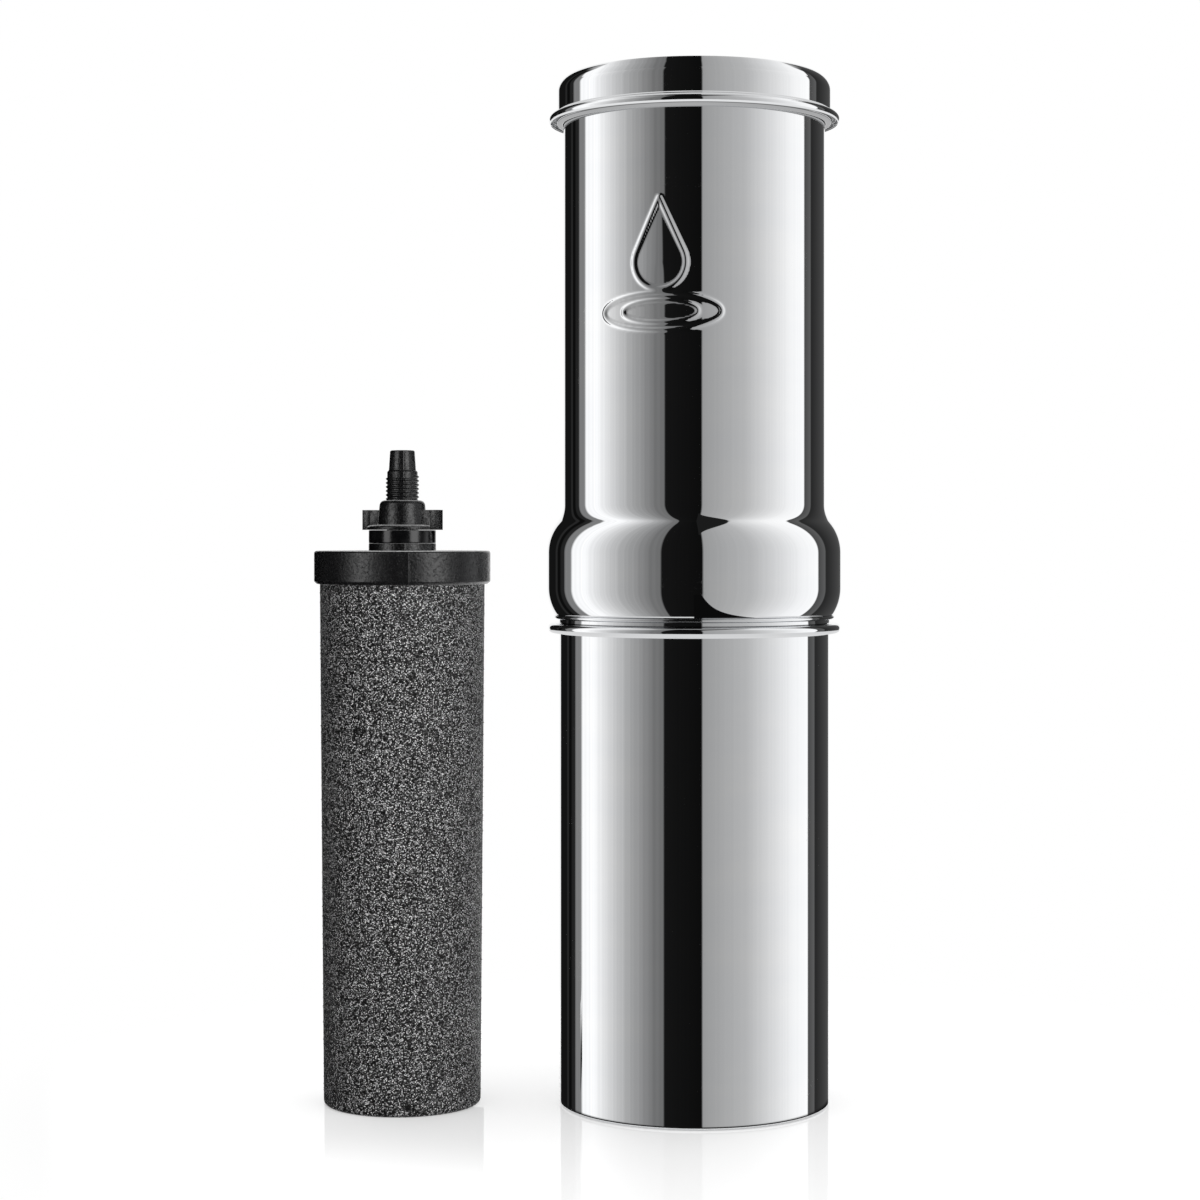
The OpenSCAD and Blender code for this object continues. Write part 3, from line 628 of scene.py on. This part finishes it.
# The motif's middle, how far it reaches to each side, and the mesh's step under it
MOTIF_AZIMUTH = math.radians(-16.7)
MOTIF_Z = 307.4 * MM
MOTIF_REACH = 25.5 * MM
MOTIF_STEP = 0.5 * MM
MOTIF_HEIGHT = 0.6 * MM
DROP_R = 9.6 * MM
DROP_POINT = 23.0 * MM              # from the middle of the drop's round to its point
DROP_LIFT = 0.5 * MM
DROP_LINE = 0.85 * MM               # half the line's width
BELLY = 0.35                        # height of the drop's middle as a share of its line's
RIPPLES = ((22.5 * MM, 6.6 * MM), (14.0 * MM, 3.9 * MM))
RIPPLE_FALL = 17.0 * MM
RIPPLE_LINE = 0.7 * MM
SOFT = 0.45 * MM                    # half the width of a line's sloping sides
COARSE = 200                        # columns round the rest of the upper chamber


def ridge(distance, half, soft):
    """1 on a line, 0 away from it, with soft sides."""
    t = np.clip((half + soft - np.abs(distance)) / (2 * soft), 0, 1)
    return t * t * (3 - 2 * t)


def drop_distance(u, v, radius, reach):
    """Distance to the outline of a drop: a circle with straight sides up to a point."""
    u = np.abs(u)
    lean = radius / reach
    side = math.sqrt(1 - lean * lean)
    along = side * v - lean * u
    flank = side * u + lean * v - radius
    tip = np.where(along > side * reach, np.hypot(u, v - reach), flank)
    return np.where(along < 0, np.hypot(u, v) - radius, tip)


def oval_distance(u, v, wide, high):
    """Distance to an oval's outline, exact on the line itself."""
    least = 1e-6
    share = np.maximum(np.hypot(u / wide, v / high), least)
    return (share - 1) * share / np.maximum(np.hypot(u / wide ** 2, v / high ** 2), least)


def motif(azimuth, radius, height):
    """A plain water drop over two ripples, pressed out of the wall."""
    u = radius * (np.mod(azimuth - MOTIF_AZIMUTH + math.pi, TURN) - math.pi)
    v = height - MOTIF_Z
    outside = (np.abs(radius - wall_r) < 2 * NEAR) & (np.abs(v) < MOTIF_REACH) & (np.abs(u) < MOTIF_REACH)
    drop = drop_distance(u, v - DROP_LIFT, DROP_R, DROP_POINT)
    line = ridge(drop, DROP_LINE, SOFT)
    belly = BELLY * np.clip(-drop / DROP_R, 0, 1) ** 0.7
    for wide, high in RIPPLES:
        line = np.maximum(line, ridge(oval_distance(u, v + RIPPLE_FALL, wide, high), RIPPLE_LINE, SOFT))
    return MOTIF_HEIGHT * np.where(outside, np.maximum(line, belly), 0)


steps = round(2 * MOTIF_REACH / MOTIF_STEP)
fine = [MOTIF_AZIMUTH + (i * MOTIF_STEP - MOTIF_REACH) / wall_r for i in range(steps + 1)]
coarse = [fine[-1] + (TURN - (fine[-1] - fine[0])) * i / COARSE for i in range(1, COARSE)]
lower_line = held(rounded(fuller_roll(section("lower_chamber"), ROLL_R, lower_top)))
upper_line = split(outline("upper_chamber"), wall_r, MOTIF_Z - MOTIF_REACH, MOTIF_Z + MOTIF_REACH, MOTIF_STEP)
steel = [
    finish_piece(turned("upper_chamber_shell", upper_line, fine + coarse, relief=motif), "upper_chamber"),
    finish_piece(turned("lower_chamber_shell", lower_line, even(384)), "lower_chamber"),
    finish_piece(turned("upper_floor_pan", outline("upper_floor"), even(192)), "upper_floor"),
    finish_piece(turned("lid_shell", outline("lid"), even(384)), "lid"),
]

# Cartridges

MOULD_LINE = math.radians(8.0)      # bearing of the line where a mould parts
MOULD_RISE = 0.09 * MM
BORE_MOST = 4 * MM                  # a stem's bore lies within this radius, its outside beyond it
STEM_MOST = 12 * MM                 # a stem lies within this radius, a boss reaches beyond it
THREAD_SINK = 0.12 * MM             # how deep the thread's ridge stands in the stem
GRAIN_SIZES = {"Grain Size": 0.6 * MM, "Grains a Square Metre": 85000.0, "Seed": 7}


def cap_section(line):
    """The end cap's section with its stem turned down to the thread's root, and the thread's sizes."""
    boss_top = max(p[1] for p in line if p[0] > STEM_MOST)
    stem = [p for p in line if p[1] > boss_top + NEAR and p[0] > BORE_MOST]
    major = max(p[0] for p in stem)
    crests = sorted(p[1] for p in stem if p[0] > major - NEAR)
    starts = crests[::2]
    pitch = (starts[-1] - starts[0]) / (len(starts) - 1)
    toothed = [p for p in stem if p[1] <= crests[-1] + pitch / 2]
    root = min(p[0] for p in toothed if p[1] < crests[-1])
    kept = [p for p in line if p not in toothed or abs(p[0] - root) < NEAR]
    return kept, dict(major=major, root=root, pitch=pitch, low=starts[0] - 0.4 * pitch, turns=len(starts))


def mould_line(azimuth, radius, height):
    """The raised line where the two halves of a mould meet."""
    off = np.minimum(np.abs(azimuth - MOULD_LINE), np.abs(azimuth - MOULD_LINE - math.pi)) * radius
    return MOULD_RISE * ridge(off, 0.08 * MM, 0.12 * MM) * (radius > BORE_MOST)


def near_mould_line(count):
    """Even azimuths with close ones at the mould's line."""
    extra = [MOULD_LINE + side + k * math.radians(0.2) for side in (0, math.pi) for k in range(-2, 3)]
    return sorted([a for a in even(count) if min(abs(a - e) for e in extra) > math.radians(0.5)] + extra)


thread_tree = coil_tree("stem_thread", False, FINISH["black_plastic"])
spring_tree = coil_tree("wire_coil", True, FINISH["wire_steel"])
grains = grain_tree(FINISH["carbon_block"])


def end_cap(name, node, axis_x, flip):
    """The cap, boss and stem with a true helical thread."""
    line = section(node, axis_x)
    if flip:
        high = max(p[1] for p in line)
        line = [(r, high - z) for r, z in line]
    kept, thread = cap_section(line)
    body = turned(name, held(rounded(kept, 0.25 * MM)), near_mould_line(144), 0.0, mould_line)
    body.data.materials.append(FINISH["black_plastic"])
    depth = thread["major"] - thread["root"] + THREAD_SINK
    place = Matrix.Translation((0, 0, thread["low"] + 0.5 * thread["pitch"]))
    coil = coil_piece(name + "_thread", thread_tree, place, radius=thread["root"] - THREAD_SINK + depth / 2,
                      pitch=thread["pitch"], turns=thread["turns"] - 0.9, width=thread["pitch"] * 0.93,
                      depth=depth, steps_a_turn=48)
    parts = bmesh.new()
    parts.from_mesh(body.data)
    parts.from_mesh(coil.data)
    parts.to_mesh(body.data)
    parts.free()
    bpy.data.objects.remove(coil)
    if flip:
        body.data.transform(Matrix.Translation((0, 0, high)) @ Matrix.Rotation(math.pi, 4, "X"))
    else:
        body.data.transform(Matrix.Translation((axis_x, 0, 0)))
    return finish_piece(body, node)


def carbon(name, node, axis_x):
    """The block with broken grains standing in its skin."""
    raw = turned(name + "_raw", outline(node, axis_x, 0.5 * MM), even(128), axis_x)
    modifier = raw.modifiers.new("grains", "NODES")
    modifier.node_group = grains
    for item in grains.interface.items_tree:
        if item.in_out == "INPUT" and item.name in GRAIN_SIZES:
            modifier[item.identifier] = GRAIN_SIZES[item.name]
    return finish_piece(applied(name, raw), node)


def seal(name, node, axis_x):
    """A stem's washer, well rounded."""
    return finish_piece(turned(name, outline(node, axis_x, 0.4 * MM), even(96), axis_x), node)


dark = [
    carbon("spare_block", "spare_carbon_block", spare_x),
    end_cap("spare_cap", "spare_end_cap", spare_x, False),
    moulded("spare_nut", "spare_wing_nut"),
    seal("spare_seal", "spare_washer", spare_x),
    carbon("fitted_block", "fitted_carbon_block", 0.0),
    end_cap("fitted_cap", "fitted_end_cap", 0.0, True),
    moulded("fitted_nut", "fitted_wing_nut"),
    seal("fitted_seal", "fitted_washer", 0.0),
]

# Tap

for node in ("tap_body", "tap_bonnet", "tap_jam_nut", "tap_lever"):
    dark.append(moulded(node + "_moulding", node))
spring_low, spring_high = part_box("tap_spring")
WIRE = 1.0 * MM
SPRING_TURNS = 5
place = Matrix.Translation((0, (spring_low.y + spring_high.y) / 2, spring_low.z + WIRE / 2))
pitch = (spring_high.z - spring_low.z - WIRE) / SPRING_TURNS
spring = coil_piece("tap_spring_wire", spring_tree, place, radius=spring_high.x - WIRE / 2, pitch=pitch,
                    turns=float(SPRING_TURNS), width=WIRE, depth=WIRE, steps_a_turn=32)
spring = finish_piece(spring, "tap_spring")
valve = next(j for j in frame["record"]["behaviour"]["joints"] if j["name"] == "tap_valve_lift")
spring_keep = 1 - max(valve["range_m"]) / (spring_high.z - spring_low.z)
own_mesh(spring)
dark.append(spring)

# The nodes that no piece replaces show as they are
for node, thing in frame["nodes"].items():
    if thing.hide_render:
        continue
    thing.data.materials.clear()
    thing.data.materials.append(FINISH[SLOT[node]])
    dark.append(thing)

# Camera: level, a little left of the housing's axis, its frame shifted down to the photographed one

PIXELS = 1200
FOCAL_PIXELS = 2670
HORIZON_ROW = 530
EYE = (-35.0 * MM, -994.6 * MM, 212.7 * MM)
lens = bpy.data.cameras.new("camera")
lens.sensor_width = 36
lens.lens = FOCAL_PIXELS / PIXELS * lens.sensor_width
lens.shift_y = (HORIZON_ROW - PIXELS / 2) / PIXELS
camera = bpy.data.objects.new("camera", lens)
camera.location = EYE
camera.rotation_euler = (math.pi / 2, 0, 0)
bpy.context.scene.collection.objects.link(camera)
bpy.context.scene.camera = camera

# Studio

FLOOR_REACH = 20.0
FLOOR_WHITE = 0.38          # share of plain white in the floor near the object
STUDIO_R = 1.6
STUDIO_MIDDLE = 0.2         # height from which the studio's tops are seen
CARD_LIFT = 0.4 * MM
CARD_GAP = 0.3 * MM         # between a wall and the ring or flag that stands round it
PAINTED_REFLECTION_HIGH = 0.034          # height of the card with the painted reflection of the cartridge's front
SKY = 0.12                  # what the world lights with


def seen_rays(g):
    """1 for rays that show a background: from the camera, off gloss, and through glass."""
    rays = g.node("ShaderNodeLightPath").socket.node.outputs
    named = [Value(g, rays["Is " + kind + " Ray"]) for kind in ("Camera", "Glossy", "Transmission")]
    return g.maths("MINIMUM", named[0] + named[1] + named[2], 1.0)


def pale_floor():
    """White sweep that keeps a soft shadow and a faint reflection."""
    made, g = new_material("pale_floor")
    point, x, y, _ = g.place()
    dust = g.noise(point, 90.0, detail=5.0, roughness=0.7)
    lit = g.node("ShaderNodeBsdfPrincipled", inputs={
        "Base Color": g.blend(dust, (0.90, 0.90, 0.90), (0.92, 0.92, 0.92)),
        "Roughness": g.ease(dust, 0.3, 0.7, 0.03, 0.05), "IOR": 1.5})
    white = g.node("ShaderNodeEmission", inputs={"Color": (1, 1, 1, 1), "Strength": 1.0})
    g.surface(g.node("ShaderNodeMixShader", inputs={
        0: seen_rays(g) * g.ease(off_axis(x, y), 0.16, 0.28, FLOOR_WHITE, 1.0), 1: lit, 2: white}))
    return made


# Boxes and flags round the object: two bearings, minus on the camera's left, and the screen tone that the
# steel shows at each.
STUDIO_CARDS = [
    (-180.0, -140.5, 18, 18), (-139.5, -136.0, 38, 38), (-135.0, -129.8, 12, 12), (-129.2, -122.8, 34, 34),
    (-122.2, -112.8, 124, 120),
    (-112.2, -98.0, 246, 254), (-98.0, -80.0, 254, 214), (-80.0, -60.0, 214, 166), (-60.0, -36.0, 166, 114),
    (-36.0, -28.0, 114, 108),
    (-27.4, 4.8, 20, 12),
    (5.6, 42.0, 152, 178), (42.0, 92.0, 178, 243), (92.0, 110.2, 243, 251),
    (110.8, 121.6, 72, 92), (122.4, 152.0, 38, 68), (152.0, 180.0, 68, 110),
]
VIEW_BEARING = -2.0         # where the camera stands, from the housing
VIEW_LEAN = 1.5             # how far that bearing swings from one side of the wall to its middle


def sine(g, degrees):
    return g.maths("SINE", degrees * (math.pi / 180))


def wall_bearing(g, x, y):
    """Bearing, in degrees, of the ray off the lower chamber's round wall that passes through a point.

    The ray leaves the wall at half that bearing, so nearer the wall the bearing turns faster than the point.
    """
    reach = g.maths("MAXIMUM", off_axis(x, y), wall_low_r * 1.002)
    share = wall_low_r / reach
    place = g.maths("ARCTAN2", x, 0.0 - y) * (180 / math.pi)
    bearing = (place - VIEW_BEARING) / (1 - share * 0.5) + VIEW_BEARING
    for _ in range(4):
        half = (bearing + VIEW_BEARING) * 0.5
        half = half - sine(g, half) * VIEW_LEAN
        swing = g.maths("ARCSINE", share * sine(g, bearing - half))
        bearing = place + swing * (180 / math.pi)
    return bearing, reach


def card_tones(g, x, y):
    """Bearing and distance of a point off the wall, and the tone of the box or flag that stands there."""
    azimuth, span = wall_bearing(g, x, y)
    streak = g.noise(g.spot(azimuth, 0.0, 0.0), 0.35, detail=4.0, roughness=0.6) - 0.5
    stops = sorted({stop for a, b, first, last in STUDIO_CARDS for stop in ((a, first), (b, last))})
    stops = [((a + 180) / 360, linear(tone) / STEEL_TONE) for a, tone in stops]
    tone = g.node("ShaderNodeValToRGB", {"stops": stops}, {"Fac": azimuth / 360 + 0.5})
    # The left box is streakier than the right one
    streaks = 1 + streak * g.ease(azimuth, -10.0, 10.0, 0.5, 0.16)
    return azimuth, span, g.vector("SCALE", {0: tone, "Scale": streaks})


def studio_cards():
    """Two tall graded softboxes with black flags between them, their tops, a grey ceiling, and painted
    contact shade at the lower chamber's foot.
    """
    made, g = new_material("studio_cards")
    _, x, y, z = g.place()
    azimuth, span, tone = card_tones(g, x, y)
    climb = g.maths("ARCTAN2", z - STUDIO_MIDDLE, span) * (180 / math.pi)
    # The right box's top is lower towards the camera, with a round corner
    corner = g.node("ShaderNodeMapRange", inputs={"Value": azimuth, "From Min": 4.0, "From Max": 52.0})
    right_top = g.ease(climb - corner ** 0.45 * 26 - 40, -0.6, 0.6) * g.ease(azimuth, 2.0, 2.5)
    left_top = g.ease(climb, 70.0, 73.0) * g.ease(azimuth, 2.5, 2.0)
    shut = g.blend(right_top + left_top, tone, (0.014, 0.014, 0.014))
    rear_top = g.ease(azimuth * azimuth, 118.0 ** 2, 126.0 ** 2) * g.ease(climb, 42.0, 50.0)
    shut = g.blend(rear_top * 0.9, shut, (0.55, 0.55, 0.55))
    shut = g.blend(g.ease(climb, 72.0, 78.0), shut, (0.6, 0.6, 0.6))
    # Painted contact shade: dark within a few millimetres of the lower chamber's wall, where it stands on the
    # floor
    shut = g.blend(g.ease(span, wall_low_r + 5 * MM, wall_low_r + 1 * MM), shut, (0.01, 0.01, 0.01))
    rear = g.ease(azimuth * azimuth, 161.0 ** 2, 162.5 ** 2) * g.ease(climb, 74.0, 70.0)
    return one_sided(made, g, shut, rear)


def one_sided(made, g, tone, open_part=0.0):
    """Glows on the side that a face looks to, and shows nothing from behind or where it is open."""
    glow = g.node("ShaderNodeEmission", inputs={"Color": tone, "Strength": 1.0})
    behind = g.node("ShaderNodeNewGeometry", output="Backfacing")
    hidden = g.maths("MAXIMUM", behind, open_part)
    clear = g.node("ShaderNodeBsdfTransparent")
    g.surface(g.node("ShaderNodeMixShader", inputs={0: hidden, 1: glow, 2: clear}))
    made.cycles.emission_sampling = "NONE"
    return made


def plain_card(name, tone):
    made, g = new_material(name)
    return one_sided(made, g, (tone, tone, tone, 1))


def lid_reflector(bead_r):
    """Light under the lid's bead, with a darker band straight below the bead."""
    made, g = new_material("lid_reflector")
    _, x, y, _ = g.place()
    reach = off_axis(x, y)
    band = g.ease(reach, bead_r - 0.4 * MM, bead_r + 0.1 * MM)
    band = band * g.ease(reach, bead_r + 1.7 * MM, bead_r + 1.2 * MM)
    tone = g.blend(g.ease(reach, bead_r, bead_r + 2 * MM), (0.48, 0.48, 0.48), (0.95, 0.95, 0.95))
    tone = g.blend(band * 0.85, tone, (0.08, 0.08, 0.08))
    return one_sided(made, g, tone)


def over_lid():
    """The boxes' tones close over the lid's top corner, open at both ends of the round."""
    made, g = new_material("over_lid")
    _, x, y, _ = g.place()
    azimuth, _, tone = card_tones(g, x, y)
    end = g.ease(off_axis(x, y), 44 * MM, 56 * MM, 84.0, 118.0)
    return one_sided(made, g, tone, g.ease(azimuth * azimuth - end * end, -900.0, 500.0))


def fading_front():
    """Painted reflection of the cartridge's front in the floor: dark at the floor, white a little above it.
    """
    made, g = new_material("fading_front")
    *_, z = g.place()
    tone = g.blend(g.ease(z, 0.011, PAINTED_REFLECTION_HIGH), (0.0, 0.0, 0.0), (1.0, 1.0, 1.0))
    return one_sided(made, g, tone)


def stage_piece(name, points, faces, finish):
    mesh = bpy.data.meshes.new(name)
    mesh.from_pydata(points, [], faces)
    mesh.materials.append(finish)
    thing = bpy.data.objects.new(name, mesh)
    bpy.context.scene.collection.objects.link(thing)
    return thing


def gloss_only(thing):
    """Leaves a stage piece to be seen in reflections alone."""
    thing.visible_camera = False
    thing.visible_diffuse = False
    thing.visible_transmission = False
    thing.visible_volume_scatter = False
    thing.visible_shadow = False


def studio_shell():
    """A shell round the object and low over the floor, open under the housing, that only gloss can see."""
    columns = 144
    line = [(wall_low_r + 0.2 * MM, CARD_LIFT), (0.3, CARD_LIFT), (0.8, CARD_LIFT), (STUDIO_R, CARD_LIFT)]
    line += [(STUDIO_R * math.cos(a), STUDIO_R * math.sin(a) + CARD_LIFT) for a in
             [math.radians(2.5 * k) for k in range(1, 36)]]
    line.append((0.001, STUDIO_R + CARD_LIFT))
    points = [(r * math.sin(a), -r * math.cos(a), z) for a in even(columns) for r, z in line]
    rows = len(line)
    faces = [(i * rows + j + 1, (i + 1) % columns * rows + j + 1, (i + 1) % columns * rows + j, i * rows + j)
             for i in range(columns) for j in range(rows - 1)]
    thing = stage_piece("studio_shell", points, faces, studio_cards())
    gloss_only(thing)
    return thing


def skirt_flag():
    """A small black flag under the bulge, cut to a curve, that only the curve above it mirrors."""
    inner = upper_low_r + CARD_GAP
    azimuths = [-2.0 + 0.5 * k for k in range(51)]
    points = []
    for a in azimuths:
        outer = max(inner + 0.01 * MM, 50.3 * MM + 42 * MM / max(a - 1.5, 0.77))
        points += [(r * math.sin(math.radians(a)), -r * math.cos(math.radians(a)), upper_low.z - 0.1 * MM)
                   for r in (inner, outer)]
    faces = [(2 * k, 2 * k + 1, 2 * k + 3, 2 * k + 2) for k in range(len(azimuths) - 1)]
    return stage_piece("skirt_flag", points, faces, FLAG)


def ring_card(name, inner, outer, height, finish, up):
    """A flat ring round the housing that shows on its upper or its lower side."""
    columns = 96
    points = [(r * math.sin(a), -r * math.cos(a), height) for a in even(columns) for r in (inner, outer)]
    faces = [(2 * i, 2 * i + 1, 2 * ((i + 1) % columns) + 1, 2 * ((i + 1) % columns)) for i in range(columns)]
    ring = stage_piece(name, points, faces if up else [face[::-1] for face in faces], finish)
    gloss_only(ring)
    return ring


def upright_card(name, start, end, low, high, finish):
    """An upright card between two points of the plan. It shows on the right of the way from start to end."""
    points = [(*start, low), (*end, low), (*end, high), (*start, high)]
    return stage_piece(name, points, [(0, 1, 2, 3)], finish)


def lamp(name, place, aim, width, height, watts, gloss, receivers):
    """An area lamp that lights one collection. With gloss it also shows in reflections."""
    data = bpy.data.lights.new(name, "AREA")
    data.shape = "RECTANGLE"
    data.size, data.size_y = width, height
    data.energy = watts
    thing = bpy.data.objects.new(name, data)
    thing.location = place
    thing.rotation_euler = (Vector(aim) - Vector(place)).to_track_quat("-Z", "Y").to_euler()
    thing.visible_camera = False
    thing.visible_glossy = gloss
    bpy.context.scene.collection.objects.link(thing)
    thing.light_linking.receiver_collection = receivers


def group(name, things):
    """A collection of things for a lamp or a card to light alone."""
    made = bpy.data.collections.new(name)
    for thing in things:
        made.objects.link(thing)
    return made


def around(azimuth, distance, height, axis_x=0.0):
    """A point at an azimuth from the camera's side, round an axis."""
    a = math.radians(azimuth)
    return (axis_x + distance * math.sin(a), -distance * math.cos(a), height)


corners = [(FLOOR_REACH * x, FLOOR_REACH * y, 0) for x, y in ((-1, -1), (1, -1), (1, 1), (-1, 1))]
floor = stage_piece("floor", corners, [(0, 1, 2, 3)], pale_floor())
shell = studio_shell()

dark_group = group("dark_pieces", dark)
tap_group = group("tap_pieces", [thing for thing in dark if "tap_" in thing.name])
block_group = group("blocks", [thing for thing in dark if "block" in thing.name])
plastic_group = group("all_but_blocks", [thing for thing in dark if "block" not in thing.name])
shell.light_linking.receiver_collection = group("mirror_steel", steel + [floor])
for thing in dark:
    thing.visible_glossy = False

# Small cards close to the steel: a flag under the bulge, light at both beads and over the lid's corner
FLAG = plain_card("black_flag", 0.004)
REFLECTOR = plain_card("reflector", 0.8)
lid_low, lid_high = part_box("lid")
skirt = skirt_flag()
gloss_only(skirt)
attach(skirt, BODY["upper_chamber"])
ring_card("under_rim", wall_low_r + CARD_GAP, wall_low_r + 7 * MM, lower_top - 4.1 * MM, REFLECTOR, True)
under_lid = ring_card("under_lid", wall_r + CARD_GAP, lid_high.x + 3 * MM, lid_low.z - 0.6 * MM,
                      lid_reflector(lid_high.x - 1.8 * MM), True)
over_bead = ring_card("over_bead", lid_high.x - 2.9 * MM, lid_high.x - 1.3 * MM, lid_low.z + 4.5 * MM,
                      REFLECTOR, False)
over_top = ring_card("over_lid", 42 * MM, 60 * MM, lid_high.z + 0.3 * MM, over_lid(), False)
for card in (under_lid, over_bead, over_top):
    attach(card, BODY["lid"])
# No gloss sees the standing cartridge, so a low card carries a painted reflection of its front in the floor.
# The card faces the camera, turns its edge or its back to the housing, and moves with the cartridge
reflection_card = upright_card("block_front", (spare_x - 30.2 * MM, 11.2 * MM), (spare_x + 30.8 * MM, -11.2 * MM), 0.0,
                     PAINTED_REFLECTION_HIGH, fading_front())
gloss_only(reflection_card)
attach(reflection_card, BODY["spare_carbon_block"])

# Four strips stand round the cartridge: name, azimuth, width, watts and what it lights
for name, azimuth, width, watts, lights in (
        ("strip_left", -50, 0.4, 3.4, plastic_group), ("strip_right", 46, 0.5, 5.2, plastic_group),
        ("block_left", -44, 0.4, 0.5, block_group), ("block_right", 32, 0.3, 9.0, block_group)):
    lamp(name, around(azimuth, 0.9, 0.42, spare_x), (spare_x, 0, 0.12), width, 1.1, watts, True, lights)
lamp("strip_back", around(160, 1.0, 0.45), (0, 0, 0.1), 0.4, 1.0, 2.6, True, tap_group)
lamp("overhead", (0.0, -0.5, 1.9), (0, 0, 0), 1.4, 1.4, 5.0, False, dark_group)
lamp("floor_wash", (0.0, 0.0, 2.2), (0, 0, 0), 2.6, 2.6, 98.0, False, group("floor_only", [floor]))

world = bpy.data.worlds.new("studio")
world.use_nodes = True
sky = Graph(world.node_tree)
seen = seen_rays(sky)
backdrop = sky.node("ShaderNodeBackground", inputs={
    "Color": (1, 1, 1, 1), "Strength": SKY + seen * (1 - SKY)})
sky.node("ShaderNodeOutputWorld", inputs={"Surface": backdrop})
bpy.context.scene.world = world
bpy.context.scene.view_settings.view_transform = "Standard"
